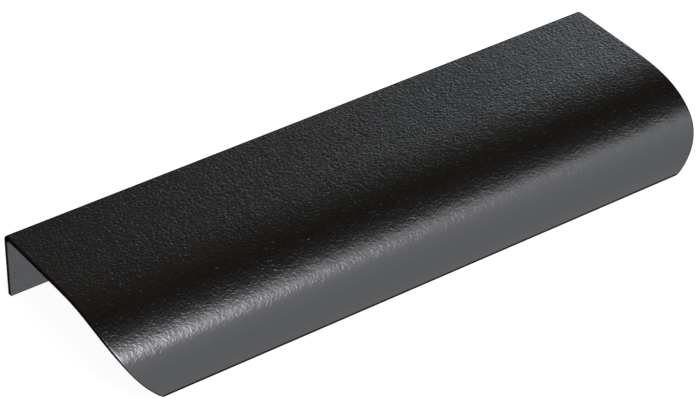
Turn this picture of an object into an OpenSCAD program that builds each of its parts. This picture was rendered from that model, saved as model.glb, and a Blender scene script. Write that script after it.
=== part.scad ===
// Edge pull: one strip of sheet steel, folded and formed, black powder coated.
//
// A short flange hangs down behind the door or drawer front and takes the screws. A flat top
// plate runs forward over the panel's upper edge. In front of the panel the sheet sweeps down
// in a gentle curve and then a tighter one, and the fingers reach in behind that lip.
// The lip's two ends are trimmed along an arc, so its lower edge is shorter than the plate.
//
// Frame: X runs along the pull, the front faces -Y and +Z is up. The origin lies midway
// between the two screw holes, on the face of the flange that meets the back of the panel.

/* [Sheet] */
// Length of the pull
length = 120; // [80:1:300]
// Thickness of the sheet
sheet = 1.0; // [0.8:0.1:1.5]
// Radius of the eased corners along the flange's lower edge and the lip's edge
edge_ease = 0.25; // [0.1:0.05:0.35]

/* [Flange] */
// Height of the pull at the flange, from its lower edge to the top face
flange_h = 12.7; // [11:0.1:30]
// Inside radius of the fold between flange and top plate
fold_r = 0.5; // [0.3:0.1:2]

/* [Screw holes] */
// Diameter of the two screw holes
hole_d = 4.2; // [3:0.1:5]
// Distance between the centres of the two screw holes
hole_spacing = 96; // [32:1:110]
// Distance of the hole centres below the top face
hole_drop = 7; // [5.5:0.1:7.5]

/* [Top plate] */
// Flat depth of the top plate, from the flange's rear face to the start of the sweep
top_flat = 20; // [15:0.5:40]

/* [Lip] */
// Outer radius of the gentle sweep that starts the lip
sweep_r = 25; // [18:0.5:40]
// Angle that the sweep turns through
sweep_angle = 32; // [15:1:45]
// Outer radius of the tighter nose below the sweep, which turns on to straight down
nose_r = 9.7; // [6:0.1:14]
// Straight run from the nose down to the lip's edge
edge_run = 0.5; // [0.5:0.1:5]

/* [End trim] */
// Distance that the lip's edge stops short of the plate's end, at each end
trim_inset = 6.8; // [3:0.1:10]
// Radius of the trim arc
trim_r = 19; // [15:0.5:30]
// Lean of the trim cut away from straight down, where 90 cuts straight in from the front
trim_lean = 75; // [65:1:90]

/* [Hidden] */
$fn = 360;
fold_outer_r = fold_r + sheet;
// Centres of the lip's two arcs, as depth from the flange's rear face and height from the top.
// The nose stands a hair proud of the sweep, so that the two faces cross and never just graze.
hair = 0.0001;
sweep_centre = [top_flat, -sweep_r];
nose_step = sweep_r - nose_r + hair;
nose_centre = sweep_centre + nose_step * [sin(sweep_angle), cos(sweep_angle)];
nose_x = rounded(nose_centre[0]);
nose_y = rounded(nose_centre[1]);
// Outer corner of the lip's edge
lip_x = nose_x + nose_r;
lip_y = nose_y - edge_run;
// The trim arc is measured along a line square to the cut, from the top rear corner
trim_edge = lip_x * cos(trim_lean) - lip_y * sin(trim_lean);
trim_start = rounded(trim_edge - sqrt(pow(trim_r, 2) - pow(trim_r - trim_inset, 2)));
// The arcs act only in front of the flat plate
trim_near = rounded(top_flat * sin(trim_lean));
reach = top_flat + sweep_r + nose_r + flange_h;
clear = 1;

// Length to the nearest ten-thousandth of a millimetre
function rounded(x) = round(x * 10000) / 10000;

// Sector of a disc, forward from straight up to an angle of at most 90
module sector(r, angle) {
    intersection() {
        circle(r);
        polygon([
            [0, 0],
            [0, reach],
            reach * [sin(angle / 2), cos(angle / 2)],
            reach * [sin(angle), cos(angle)]
        ]);
    }
}

// Square end of the sheet with two eased corners, from the origin up to its given run
module eased_end(run) {
    translate([edge_ease, 0]) square([sheet - 2 * edge_ease, run]);
    translate([0, edge_ease]) square([sheet, run - edge_ease]);
    for (x = [edge_ease, sheet - edge_ease])
        translate([x, edge_ease]) circle(edge_ease);
}

// Everything under the lip's curve, down from a face that lies this deep in the sheet
module under_lip(depth) {
    translate(sweep_centre) sector(sweep_r - depth, sweep_angle);
    translate([nose_x, nose_y]) sector(nose_r - depth, 90);
}

// Section of the sheet, with depth from the flange's rear face along x and height along y
module section() {
    translate([0, -flange_h]) eased_end(flange_h - fold_outer_r);
    translate([fold_outer_r, -fold_outer_r]) mirror([1, 0]) difference() {
        sector(fold_outer_r, 90);
        circle(fold_r);
    }
    translate([fold_outer_r, -sheet]) square([top_flat - fold_outer_r, sheet]);
    difference() {
        under_lip(0);
        under_lip(sheet);
    }
    translate([lip_x - sheet, lip_y]) eased_end(edge_run);
}

// Outline that the trim leaves, seen along the cut: full length above the arcs, rounded below
module trimmed_outline() {
    translate([-length / 2, -trim_start]) square([length, trim_start + reach]);
    translate([trim_r - length / 2, -trim_start - trim_r])
        square([length - 2 * trim_r, trim_r + clear]);
    for (side = [-1, 1])
        translate([side * (length / 2 - trim_r), -trim_start]) circle(trim_r);
}

// Room that the finished pull may fill: square ends behind, trimmed ends at the lip
module trimmed_room() {
    rotate([trim_lean, 0, 0]) {
        translate([-length / 2, -reach, -reach]) cube([length, 2 * reach, reach + trim_near]);
        linear_extrude(reach) trimmed_outline();
    }
}

module screw_holes() {
    for (x = [-hole_spacing / 2, hole_spacing / 2])
        translate([x, 0, 0])
            rotate([90, 0, 0]) cylinder(d = hole_d, h = 2 * sheet + 2 * clear, center = true);
}

module edge_pull() {
    color("#242423")
    difference() {
        translate([0, sheet, hole_drop]) intersection() {
            rotate([90, 0, -90]) linear_extrude(length + 2 * clear, center = true) section();
            trimmed_room();
        }
        screw_holes();
    }
}

edge_pull();
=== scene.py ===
# %% [markdown]
# # Edge pull in black textured powder coat
# The object is one strip of sheet steel. A narrow flange at the back takes two screws, a flat
# plate lies over the panel's upper edge, and a curved lip at the front gives the fingers a hold.
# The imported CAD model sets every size. This lesson gives the sheet its rounded edges, its
# grained coat and a studio to mirror, and writes down how far it strays from the CAD box.

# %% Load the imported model
import math

import bmesh
import bpy
from mathutils import Euler, Matrix, Vector


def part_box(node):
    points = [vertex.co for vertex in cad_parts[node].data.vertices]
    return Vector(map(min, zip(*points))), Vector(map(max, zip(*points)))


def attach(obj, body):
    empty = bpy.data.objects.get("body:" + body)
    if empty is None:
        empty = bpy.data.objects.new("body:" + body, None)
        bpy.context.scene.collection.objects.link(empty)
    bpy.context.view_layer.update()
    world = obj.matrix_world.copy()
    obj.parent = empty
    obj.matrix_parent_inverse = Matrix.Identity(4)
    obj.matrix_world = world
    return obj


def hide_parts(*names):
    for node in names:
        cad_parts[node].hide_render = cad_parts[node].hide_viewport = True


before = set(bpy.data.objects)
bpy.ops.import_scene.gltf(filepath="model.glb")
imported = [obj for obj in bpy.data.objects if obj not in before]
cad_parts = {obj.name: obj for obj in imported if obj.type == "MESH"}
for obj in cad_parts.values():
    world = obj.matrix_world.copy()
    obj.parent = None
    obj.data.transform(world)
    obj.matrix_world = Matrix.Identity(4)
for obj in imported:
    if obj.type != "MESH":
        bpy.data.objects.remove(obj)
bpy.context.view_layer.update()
scene = bpy.context.scene
scene.view_settings.view_transform = "Standard"
MM = 0.001
low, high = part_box("edge_pull")
print("CAD box in mm:", [round(v / MM, 2) for v in high - low])

# %% [markdown]
# Colours are written as sRGB hex values, as a paint chart gives them. Blender's shaders work
# with linear light, so one function turns a hex value into the linear numbers. A second one
# adds a node, sets it and links it, so that each finish below reads as a short list of nodes.

# %% Colour and node helpers
def linear(hex_colour):
    """Turns sRGB hex into linear red, green, blue and a full alpha, by the sRGB curve."""
    channels = []
    for start in (1, 3, 5):
        value = int(hex_colour[start:start + 2], 16) / 255
        channels.append(value / 12.92 if value <= 0.04045 else ((value + 0.055) / 1.055) ** 2.4)
    return (*channels, 1.0)


def add_node(tree, kind, inputs=None, **settings):
    """Adds a node, sets its properties, and links or fills each input named."""
    made = tree.nodes.new(kind)
    for name, value in settings.items():
        setattr(made, name, value)
    for name, value in (inputs or {}).items():
        if isinstance(value, bpy.types.NodeSocket):
            tree.links.new(value, made.inputs[name])
        else:
            made.inputs[name].default_value = value
    return made


print("Middle grey #808080 in linear light:", round(linear("#808080")[0], 3))

# %% [markdown]
# The camera stands to the left of the front and looks down on the pull, through a long lens
# that keeps the two long edges almost parallel. It could be placed by hand. Here its place is
# worked out from the point that it aims at, its distance and its three angles, so that each
# can be changed alone until the outline fits the photo.

# %% Camera
AIM_MM = Vector((-2.523, -16.061, -0.02))
VIEW_DISTANCE_MM = 512.055
VIEW_TILT_DEG = 53.947
VIEW_ROLL_DEG = -0.302
VIEW_TURN_DEG = -35.152
LENS_MM = 154.64
SENSOR_MM = 36
NEAREST_SEEN_M = 0.01

camera = bpy.data.objects.new("view", bpy.data.cameras.new("view"))
scene.collection.objects.link(camera)
angles = [math.radians(a) for a in (VIEW_TILT_DEG, VIEW_ROLL_DEG, VIEW_TURN_DEG)]
camera.rotation_euler = Euler(angles)
backward = Euler(angles).to_matrix() @ Vector((0, 0, 1))
camera.location = (AIM_MM + backward * VIEW_DISTANCE_MM) * MM
camera.data.lens = LENS_MM
camera.data.sensor_width = SENSOR_MM
camera.data.clip_start = NEAREST_SEEN_M
scene.camera = camera
print("Camera stands at mm:", [round(v / MM, 1) for v in camera.location])

# %% [markdown]
# ## The sheet
# The real pull is folded from a flat strip, so its section is the same all along: a square
# fold at the back, a flat plate, a slow sweep and a tighter nose. A section like this could be
# drawn as a curve and extruded, but the lip's ends are cut along an arc too. Here it becomes a
# row of stations, each with a point on the outer face and the direction square to the sheet.
# The sizes come first. The outer ones are measured on the CAD model. The flange meets the
# panel at y = 0, so its rear face stands one thickness of the sheet behind that.

# %% Sizes of the section
LENGTH = (high.x - low.x) / MM
SHEET = high.y / MM
FLANGE_HEIGHT = (high.z - low.z) / MM
DEPTH = (high.y - low.y) / MM
FOLD_INSIDE_R = 0.5
FOLD_R = FOLD_INSIDE_R + SHEET
SWEEP_R = 25.0
SWEEP_TURN = math.radians(32)
NOSE_R = 9.7
EDGE_RUN = 0.5

nose_shift = SWEEP_R - NOSE_R
TOP_FLAT = DEPTH - NOSE_R - nose_shift * math.sin(SWEEP_TURN)
LIP_DROP = SWEEP_R - nose_shift * math.cos(SWEEP_TURN) + EDGE_RUN
print("Plate flat for mm:", round(TOP_FLAT, 2), "and lip down mm:", round(LIP_DROP, 2))

# %% [markdown]
# The CAD model joins true arcs, and a gloss coat shows the joint of two arcs as a hard change
# in the reflections. Rolled sheet springs back and bends gently instead. A subdivision surface
# would smooth the joints too, but it would also move the edges. So the curvature is ramped
# from one radius to the next, about the same joint. The faces move by less than a fifth of a
# millimetre from the CAD model.

# %% Curvature along the section
SWEEP_EASE_MM = 5.0
NOSE_EASE_MM = 0.5

# Each run has its length and the curvature at its two ends.
runs = (
    (TOP_FLAT - FOLD_R - SWEEP_EASE_MM, 0, 0),
    (2 * SWEEP_EASE_MM, 0, 1 / SWEEP_R),
    (SWEEP_R * SWEEP_TURN - SWEEP_EASE_MM - NOSE_EASE_MM, 1 / SWEEP_R, 1 / SWEEP_R),
    (2 * NOSE_EASE_MM, 1 / SWEEP_R, 1 / NOSE_R),
    (NOSE_R * (math.pi / 2 - SWEEP_TURN) - NOSE_EASE_MM, 1 / NOSE_R, 1 / NOSE_R),
)
print("Runs in mm:", [round(length, 2) for length, start_bend, end_bend in runs])

# %% [markdown]
# The flange is flat and the fold at its top is pressed over a sharp tool, so the fold stays a
# true arc. It could be left to the small steps of the next cell, but an arc this tight is
# drawn more exactly from its centre. Its first station also ends the flat flange.

# %% Stations of the flange and the fold
FOLD_STEPS = 10


def tilted(tilt):
    """Direction square to the sheet where it has turned forward by this angle."""
    return Vector((math.sin(tilt), math.cos(tilt)))


stations = [(Vector((0, -FLANGE_HEIGHT)), tilted(-math.pi / 2))]
for k in range(FOLD_STEPS + 1):
    square = tilted((k / FOLD_STEPS - 1) * math.pi / 2)
    stations.append((Vector((FOLD_R, -FOLD_R)) + FOLD_R * square, square))
print(len(stations), "stations, at the plate's start at mm:", round(stations[-1][0].x, 2))

# %% [markdown]
# The stations of the plate and the lip come from adding up small steps. Each step turns the
# sheet a little and moves on along it, and now and then the place is kept as a station. Shears
# cut the strip to its width, and they roll the last half millimetre of the lip's edge a little
# inwards. That roll mirrors the dark below the pull and shows as the thin dark line under the
# lip, so the last two stations draw it.

# %% Stations of the plate and the lip
STEP_MM = 0.01
STEPS_PER_STATION = 30
ROLL_RUN_MM = 0.62
ROLL_IN_MM = 0.14

point = stations[-1][0].copy()
tilt = 0.0
for length, start_bend, end_bend in runs:
    count = round(length / STEP_MM)
    for k in range(count):
        bend = start_bend + (end_bend - start_bend) * (k + 0.5) / count
        tilt += bend * length / count
        along = tilted(tilt + math.pi / 2)
        point += along * length / count
        if end_bend and k % STEPS_PER_STATION == 0 and point.y > ROLL_RUN_MM - LIP_DROP:
            stations.append((point.copy(), tilted(tilt)))
stations.append((Vector((point.x, ROLL_RUN_MM - LIP_DROP)), tilted(math.pi / 2)))
stations.append((Vector((point.x - ROLL_IN_MM, -LIP_DROP)), tilted(math.pi / 2)))
print(len(stations), "stations, deepest at mm:", round(point.x, 3), "in CAD:", round(DEPTH, 3))

# %% [markdown]
# The lip's two ends are trimmed along an arc of 19 mm radius. A Boolean cutter could do that,
# but the mesh would then end in long thin faces. So each station gets its own half length
# instead. The cut leans forward, and the arc is measured along a line square to it: the half
# length is the full one until the arc begins, and then shrinks as the arc curves in.

# %% Trim of the lip's ends
TRIM_R = 19.0
TRIM_INSET = 6.8
TRIM_LEAN = math.radians(75)

lip_corner = stations[-1][0]


def along_trim(point):
    """How far down the leaning cut a place on the section lies."""
    return point.x * math.cos(TRIM_LEAN) - point.y * math.sin(TRIM_LEAN)


TRIM_START = along_trim(lip_corner) - math.sqrt(TRIM_R ** 2 - (TRIM_R - TRIM_INSET) ** 2)


def half_length(point):
    """Half of the sheet's length at a place on the section."""
    into_arc = along_trim(point) - TRIM_START
    if into_arc <= 0 or point.x < TOP_FLAT:
        return LENGTH / 2
    return LENGTH / 2 - TRIM_R + math.sqrt(TRIM_R ** 2 - into_arc ** 2)


print("Half length at the lip's edge in mm:", round(half_length(lip_corner), 2))

# %% [markdown]
# The mesh has one grid of points on the outer face and one on the inner face. A Solidify
# modifier could thicken one grid, but then both faces would be trimmed alike, and one straight
# cut through the sheet trims each at its own place. The columns keep clear of the places where
# the screw holes will be cut, so each hole falls inside one plain face of the flange. A narrow
# column at each end keeps the rounded edge's pull on the shading off the rest of the plate.

# %% Points of the two faces
COLUMNS_MM = (-52.0, -44.0, -30.0, -15.0, 0.0, 15.0, 30.0, 44.0, 52.0)
END_COLUMN_MM = 0.42


def to_frame(x, point):
    """A place on the section, with depth from the rear face and height from the top, in metres."""
    return Vector((x * MM, high.y - point.x * MM, high.z + point.y * MM))


def row_of_points(bm, point):
    """Adds the points that one station has along the length of the sheet."""
    half = half_length(point)
    xs = (-half, END_COLUMN_MM - half, *COLUMNS_MM, half - END_COLUMN_MM, half)
    return [bm.verts.new(to_frame(x, point)) for x in xs]


bm = bmesh.new()
outer = [row_of_points(bm, point) for point, _ in stations]
inner = [row_of_points(bm, point - SHEET * normal) for point, normal in stations]
print("Each face has", len(outer), "rows of", len(outer[0]), "points")

# %% [markdown]
# Faces join the points of each grid, and strips along all four edges join the two grids, as
# the sheet's cut edges do. The mesh could stay open below, where nobody looks. Closed all
# round, it has a true inside, which the Boolean for the holes needs.

# %% Closed sheet
for grid in (outer, inner):
    for near, far in zip(grid, grid[1:]):
        for k in range(len(near) - 1):
            bm.faces.new((near[k], near[k + 1], far[k + 1], far[k]))
for k in (0, -1):
    for i in range(len(outer) - 1):
        bm.faces.new((outer[i][k], outer[i + 1][k], inner[i + 1][k], inner[i][k]))
for i in (0, -1):
    for k in range(len(outer[i]) - 1):
        bm.faces.new((outer[i][k], outer[i][k + 1], inner[i][k + 1], inner[i][k]))
bmesh.ops.recalc_face_normals(bm, faces=bm.faces)
sheet_mesh = bpy.data.meshes.new("pull_sheet")
bm.to_mesh(sheet_mesh)
bm.free()
sheet_mesh.shade_smooth()
sheet = bpy.data.objects.new("pull_sheet", sheet_mesh)
scene.collection.objects.link(sheet)
print("Sheet mesh:", len(sheet_mesh.polygons), "faces")

# %% [markdown]
# ## Holes and edges
# On the real pull the two screw holes are punched before the sheet is folded and coated. They
# could be built into the grid of points, with rings of faces round each. A Boolean modifier,
# with one cutter for both, is the short way to the same shape on a flat flange.

# %% Screw holes
HOLE_R_MM = 2.1
HOLE_SPACING_MM = 96.0
HOLE_SIDES = 64
CUTTER_DEPTH_MM = 4 * SHEET

cutter_mesh = bpy.data.meshes.new("hole_cutter")
bm = bmesh.new()
lying_down = Matrix.Rotation(math.pi / 2, 4, "X")
for side in (-1, 1):
    place = Matrix.Translation((side * HOLE_SPACING_MM / 2 * MM, 0, 0)) @ lying_down
    bmesh.ops.create_cone(
        bm, cap_ends=True, segments=HOLE_SIDES, radius1=HOLE_R_MM * MM, radius2=HOLE_R_MM * MM,
        depth=CUTTER_DEPTH_MM * MM, matrix=place)
bm.to_mesh(cutter_mesh)
bm.free()
cutter = bpy.data.objects.new("hole_cutter", cutter_mesh)
scene.collection.objects.link(cutter)
holes = sheet.modifiers.new("holes", "BOOLEAN")
holes.object = cutter
holes.solver = "EXACT"
print("Two holes of mm:", 2 * HOLE_R_MM, "and apart by mm:", HOLE_SPACING_MM)

# %% [markdown]
# The coat runs round every cut edge and leaves it softly rounded, which catches the light as a
# thin line. The edges could be modelled as more stations. A Bevel modifier rounds all that turn
# sharply at once, also round the holes. The whole mesh was shaded smooth before it, so that
# weighted normals can hold the large faces flat and leave all of the turning to the narrow
# rounded ones. The mesh that comes out is kept, and the cutter is thrown away.

# %% Rounded edges
EDGE_R_MM = 0.24
EDGE_SEGMENTS = 5
SHARP_FROM_DEG = 40

edges = sheet.modifiers.new("rounded edges", "BEVEL")
edges.width = EDGE_R_MM * MM
edges.segments = EDGE_SEGMENTS
edges.limit_method = "ANGLE"
edges.angle_limit = math.radians(SHARP_FROM_DEG)
edges.use_clamp_overlap = False
sheet.modifiers.new("flat faces stay flat", "WEIGHTED_NORMAL").keep_sharp = False

depsgraph = bpy.context.evaluated_depsgraph_get()
finished = bpy.data.meshes.new_from_object(sheet.evaluated_get(depsgraph))
sheet.modifiers.clear()
sheet.data = finished
bpy.data.objects.remove(cutter)
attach(sheet, "root")
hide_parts("edge_pull")
print("Finished sheet:", len(finished.polygons), "faces")

# %% [markdown]
# ## The coat
# The finish is a fine-textured polyester powder coat: dry paint powder is sprayed on and baked
# until it flows into one skin, which shrinks into small soft wrinkles. They lie calmer on the
# lip than on the plate. An image of a real coat could give them. A solid noise in the object's
# own coordinates needs no unwrapping and runs over every edge. Half a millimetre between
# wrinkles is about the finest that shows here, where a pixel covers a sixth of a millimetre.

# %% Wrinkles
WRINKLE_MM = 0.5
WRINKLE_DISTORTION = 0.8
NOISE_DETAIL = 1.0
NOISE_ROUGHNESS = 0.4
CALM_FROM_Z_MM = 6.28
CALM_AT_Z_MM = 4.0
CALM_TO = 0.437

coat = bpy.data.materials.new("powder_coat_fine_texture")
coat.use_nodes = True
tree = coat.node_tree
tree.nodes.clear()
place = add_node(tree, "ShaderNodeTexCoord").outputs["Object"]
height = add_node(tree, "ShaderNodeSeparateXYZ", {"Vector": place}).outputs["Z"]
calm = add_node(tree, "ShaderNodeMapRange", {
    "Value": height, "From Min": CALM_FROM_Z_MM * MM, "From Max": CALM_AT_Z_MM * MM,
    "To Min": 1, "To Max": CALM_TO}, interpolation_type="SMOOTHSTEP")
wrinkles = add_node(tree, "ShaderNodeTexNoise", {
    "Vector": place, "Scale": 1 / (WRINKLE_MM * MM), "Detail": NOISE_DETAIL,
    "Roughness": NOISE_ROUGHNESS, "Distortion": WRINKLE_DISTORTION})
calmed = add_node(tree, "ShaderNodeMath", {
    0: wrinkles.outputs["Fac"], 1: calm.outputs["Result"]}, operation="MULTIPLY")
print("Wrinkle noise per metre:", round(1 / (WRINKLE_MM * MM)))

# %% [markdown]
# Under the wrinkles the skin has a slower swell, the orange peel of every sprayed and baked
# coat. Neither of the two rises more than a few hundredths of a millimetre. To displace the
# mesh by that would take millions of faces, so both are bump, the fine one on top of the slow
# one.

# %% Orange peel and bump
PEEL_MM = 2.6
PEEL_HEIGHT_MM = 0.03
WRINKLE_HEIGHT_MM = 0.0697

peel = add_node(tree, "ShaderNodeTexNoise", {
    "Vector": place, "Scale": 1 / (PEEL_MM * MM), "Detail": NOISE_DETAIL,
    "Roughness": NOISE_ROUGHNESS})
slow = add_node(tree, "ShaderNodeBump", {
    "Height": peel.outputs["Fac"], "Distance": PEEL_HEIGHT_MM * MM})
fine = add_node(tree, "ShaderNodeBump", {
    "Height": calmed.outputs["Value"], "Distance": WRINKLE_HEIGHT_MM * MM,
    "Normal": slow.outputs["Normal"]})
print("Peel noise per metre:", round(1 / (PEEL_MM * MM)))

# %% [markdown]
# To the eye the coat is a warm black, smooth enough to mirror the studio, and the wrinkles
# break each reflection's border into ripples. Such a coat has an IOR of about 1.5 and, taken
# with its wrinkles, a roughness of about 0.3. The wrinkles are drawn here on their own, so what
# lies between them is smoother. Matched to the photo's streak and its border, the two values
# end at 1.8 and 0.19.

# %% Powder coat
COAT_BLACK = "#110f0b"
COAT_ROUGHNESS = 0.19
COAT_IOR = 1.8

skin = add_node(tree, "ShaderNodeBsdfPrincipled", {
    "Base Color": linear(COAT_BLACK), "Roughness": COAT_ROUGHNESS, "IOR": COAT_IOR,
    "Normal": fine.outputs["Normal"]})
add_node(tree, "ShaderNodeOutputMaterial", {"Surface": skin.outputs["BSDF"]})
finished.materials.clear()
finished.materials.append(coat)
print("Coat has", len(tree.nodes), "nodes and linear colour",
      [round(v, 4) for v in linear(COAT_BLACK)[:3]])

# %% [markdown]
# ## Studio
# A black gloss surface shows hardly any colour of its own: what it shows is the studio. Panels
# of light could stand round the pull as objects, but they would have to be hidden from the
# lens and fitted one by one. The world is painted as a studio instead. Each direction gets its
# brightness from how far it points to the right, to the back and up.

# %% Directions in the studio
world = bpy.data.worlds.new("studio")
scene.world = world
world.use_nodes = True
tree = world.node_tree
tree.nodes.clear()
towards = add_node(tree, "ShaderNodeTexCoord").outputs["Generated"]
axes = add_node(tree, "ShaderNodeSeparateXYZ", {"Vector": towards})
to_right, to_back, upward = axes.outputs
mirrored = (-backward.x, -backward.y, backward.z)
print("The flat plate mirrors what lies towards", [round(v, 2) for v in mirrored])

# %% [markdown]
# Each light has a colour, a brightness and some fades. A fade is dark at one value and full at
# another, with a soft change between the two, and all the fades of a light are multiplied
# together. The colours are linear numbers instead of hex, because some of them go past 1.

# %% Painting a light
lights = []


def paint_light(colour, brightness, fades):
    """Adds a light to the studio. A fade has what it follows, its dark value and its full one."""
    strength = brightness
    for follows, dark, full in fades:
        fade = add_node(tree, "ShaderNodeMapRange", {
            "Value": follows, "From Min": dark, "From Max": full},
            interpolation_type="SMOOTHSTEP")
        faded = add_node(tree, "ShaderNodeMath", {
            0: strength, 1: fade.outputs["Result"]}, operation="MULTIPLY")
        strength = faded.outputs["Value"]
    light = add_node(tree, "ShaderNodeBackground", {"Color": colour, "Strength": strength})
    lights.append(light.outputs["Background"])


print("Studio has", len(tree.nodes), "nodes before its lights")

# %% [markdown]
# The largest light is a white wall in front of the pull, and the lip mirrors it as its broad
# grey face. The wall is brighter towards the ceiling and ends in a soft edge almost overhead.
# It also reaches far below level, where it stands in for the white floor, and goes dark below
# that and past its right end. Those dark parts give the lip its dark rims.

# %% Wall in front
WALL = (0.952, 0.985, 1.046, 1.0)
WALL_LEVEL_STRENGTH = 1.140
WALL_TOP_STRENGTH = 1.444
WALL_EDGE = (-0.166, -0.220)
SHADE_BELOW = (-0.72, -0.66)
RIGHT_END = (0.74, 0.64)

wall_strength = add_node(tree, "ShaderNodeMapRange", {
    "Value": upward, "From Min": 0, "From Max": 1,
    "To Min": WALL_LEVEL_STRENGTH, "To Max": WALL_TOP_STRENGTH})
paint_light(WALL, wall_strength.outputs["Result"], (
    (to_back, *WALL_EDGE), (upward, *SHADE_BELOW), (to_right, *RIGHT_END)))
print("Lights so far:", len(lights))

# %% [markdown]
# The plate mirrors the room behind the pull, on the right. A cool window glows there. It is
# strongest low on the right and fades away from that centre, with a warmer tint at its rim, so
# the plate is lighter at the right end. Below a sill the window is dark, and that draws the
# dark line along the fold. Overhead, between the window and the wall, the room is dark as
# well: this is the black band where the plate bends over into the lip.

# %% Window behind on the right
WINDOW_RIM = (2.248, 1.469, 1.300, 1.0)
WINDOW_HEART = (0.717, 0.934, 1.073, 1.0)
WINDOW_TOWARDS = (66.00, -12.98)
WINDOW_SPAN_DEG = (81.26, 41.84)
WINDOW_FALLOFF = 11.948
WINDOW_STRENGTH = 3.62
SILL = (0.195, 0.445)


def direction(turn_deg, height_deg):
    """Unit vector, turned right from straight behind the pull (+Y) and raised from level."""
    turn, height = math.radians(turn_deg), math.radians(height_deg)
    return (math.sin(turn) * math.cos(height), math.cos(turn) * math.cos(height), math.sin(height))


def nearness(centre, span_deg):
    """Rises from 0 at the outer angle off a light's centre to 1 at the inner one."""
    cosine = add_node(tree, "ShaderNodeVectorMath", {
        0: towards, 1: direction(*centre)}, operation="DOT_PRODUCT")
    outer_cosine, inner_cosine = [math.cos(math.radians(a)) for a in span_deg]
    near = add_node(tree, "ShaderNodeMapRange", {
        "Value": cosine.outputs["Value"], "From Min": outer_cosine, "From Max": inner_cosine})
    return near.outputs["Result"]


near_window = nearness(WINDOW_TOWARDS, WINDOW_SPAN_DEG)
window_tint = add_node(tree, "ShaderNodeMixRGB", {
    "Fac": near_window, "Color1": WINDOW_RIM, "Color2": WINDOW_HEART})
falloff = add_node(tree, "ShaderNodeMath", {0: near_window, 1: WINDOW_FALLOFF}, operation="POWER")
window_strength = add_node(tree, "ShaderNodeMath", {
    0: WINDOW_STRENGTH, 1: falloff.outputs["Value"]}, operation="MULTIPLY")
paint_light(window_tint.outputs["Color"], window_strength.outputs["Value"], (
    (upward, *SILL), (to_right, *RIGHT_END)))
print("Window's centre lies towards", [round(v, 2) for v in direction(*WINDOW_TOWARDS)])

# %% [markdown]
# A soft box hangs high in front. The coat's roughness spreads its mirror image into the pale
# streak along the bend of the lip. A dim, warm light at the back, above the same sill, keeps the
# plate's left half from going fully black.

# %% Soft box and back light
BOX = (0.991, 0.981, 1.057, 1.0)
BOX_TOWARDS = (165.58, 61.27)
BOX_SPAN_DEG = (18.53, 4)
BOX_STRENGTH = 10.94
BACK = (1.044, 0.878, 0.844, 1.0)
BACK_STRENGTH = 0.065
BACK_EDGE = (0.206, 0.512)

box_strength = add_node(tree, "ShaderNodeMath", {
    0: BOX_STRENGTH, 1: nearness(BOX_TOWARDS, BOX_SPAN_DEG)}, operation="MULTIPLY")
paint_light(BOX, box_strength.outputs["Value"], ())
paint_light(BACK, BACK_STRENGTH, ((to_back, *BACK_EDGE), (upward, *SILL)))
print("Lights so far:", len(lights))

# %% [markdown]
# The lights are added up. The lens itself sees plain white, which is the photo's background,
# so only the coat's reflections and the soft light on it come from the painted studio.

# %% The finished studio
WHITE = linear("#ffffff")

studio = lights[0]
for light in lights[1:]:
    studio = add_node(tree, "ShaderNodeAddShader", {0: studio, 1: light}).outputs["Shader"]
rays = add_node(tree, "ShaderNodeLightPath")
backdrop = add_node(tree, "ShaderNodeBackground", {"Color": WHITE, "Strength": 1.0})
seen = add_node(tree, "ShaderNodeMixShader", {
    0: rays.outputs["Is Camera Ray"], 1: studio, 2: backdrop.outputs["Background"]})
add_node(tree, "ShaderNodeOutputWorld", {"Surface": seen.outputs["Shader"]})
print("Studio has", len(lights), "lights and", len(tree.nodes), "nodes")

# %% [markdown]
# The floor is one large square, at the height of the pull's lowest edge. A curved backdrop
# could join it to a wall, but the lens sees the same white beyond its far edge. It stays out
# of mirror reflections, where the wall in front stands in for it.

# %% Floor
FLOOR_HALF_M = 2.0

floor_mesh = bpy.data.meshes.new("floor")
signs = ((-1, -1), (1, -1), (1, 1), (-1, 1))
corners = [(x * FLOOR_HALF_M, y * FLOOR_HALF_M, low.z) for x, y in signs]
floor_mesh.from_pydata(corners, [], [(0, 1, 2, 3)])
floor = bpy.data.objects.new("floor", floor_mesh)
scene.collection.objects.link(floor)
floor.visible_glossy = False
print("Floor lies at mm:", round(low.z / MM, 2))

# %% [markdown]
# It is matt white paper. Paper scatters light evenly and mirrors nothing, so a plain diffuse
# shader gives it. For the lens most of its white is a glow of its own, so that it stays white
# far from the lights, and the rest is real light, which keeps the pull's soft shadow.

# %% White paper
PAPER_WHITE = "#f4f4f4"
FLOOR_GLOW = 0.8
FLOOR_GLOW_STRENGTH = 1.16

paper = bpy.data.materials.new("white_paper")
paper.use_nodes = True
tree = paper.node_tree
tree.nodes.clear()
matt = add_node(tree, "ShaderNodeBsdfDiffuse", {"Color": linear(PAPER_WHITE)})
glow = add_node(tree, "ShaderNodeEmission", {"Color": WHITE, "Strength": FLOOR_GLOW_STRENGTH})
rays = add_node(tree, "ShaderNodeLightPath")
share = add_node(tree, "ShaderNodeMath", {
    0: rays.outputs["Is Camera Ray"], 1: FLOOR_GLOW}, operation="MULTIPLY")
seen = add_node(tree, "ShaderNodeMixShader", {
    0: share.outputs["Value"], 1: matt.outputs["BSDF"], 2: glow.outputs["Emission"]})
add_node(tree, "ShaderNodeOutputMaterial", {"Surface": seen.outputs["Shader"]})
floor_mesh.materials.append(paper)
print("Paper has", len(tree.nodes), "nodes and glows for the lens by", FLOOR_GLOW)
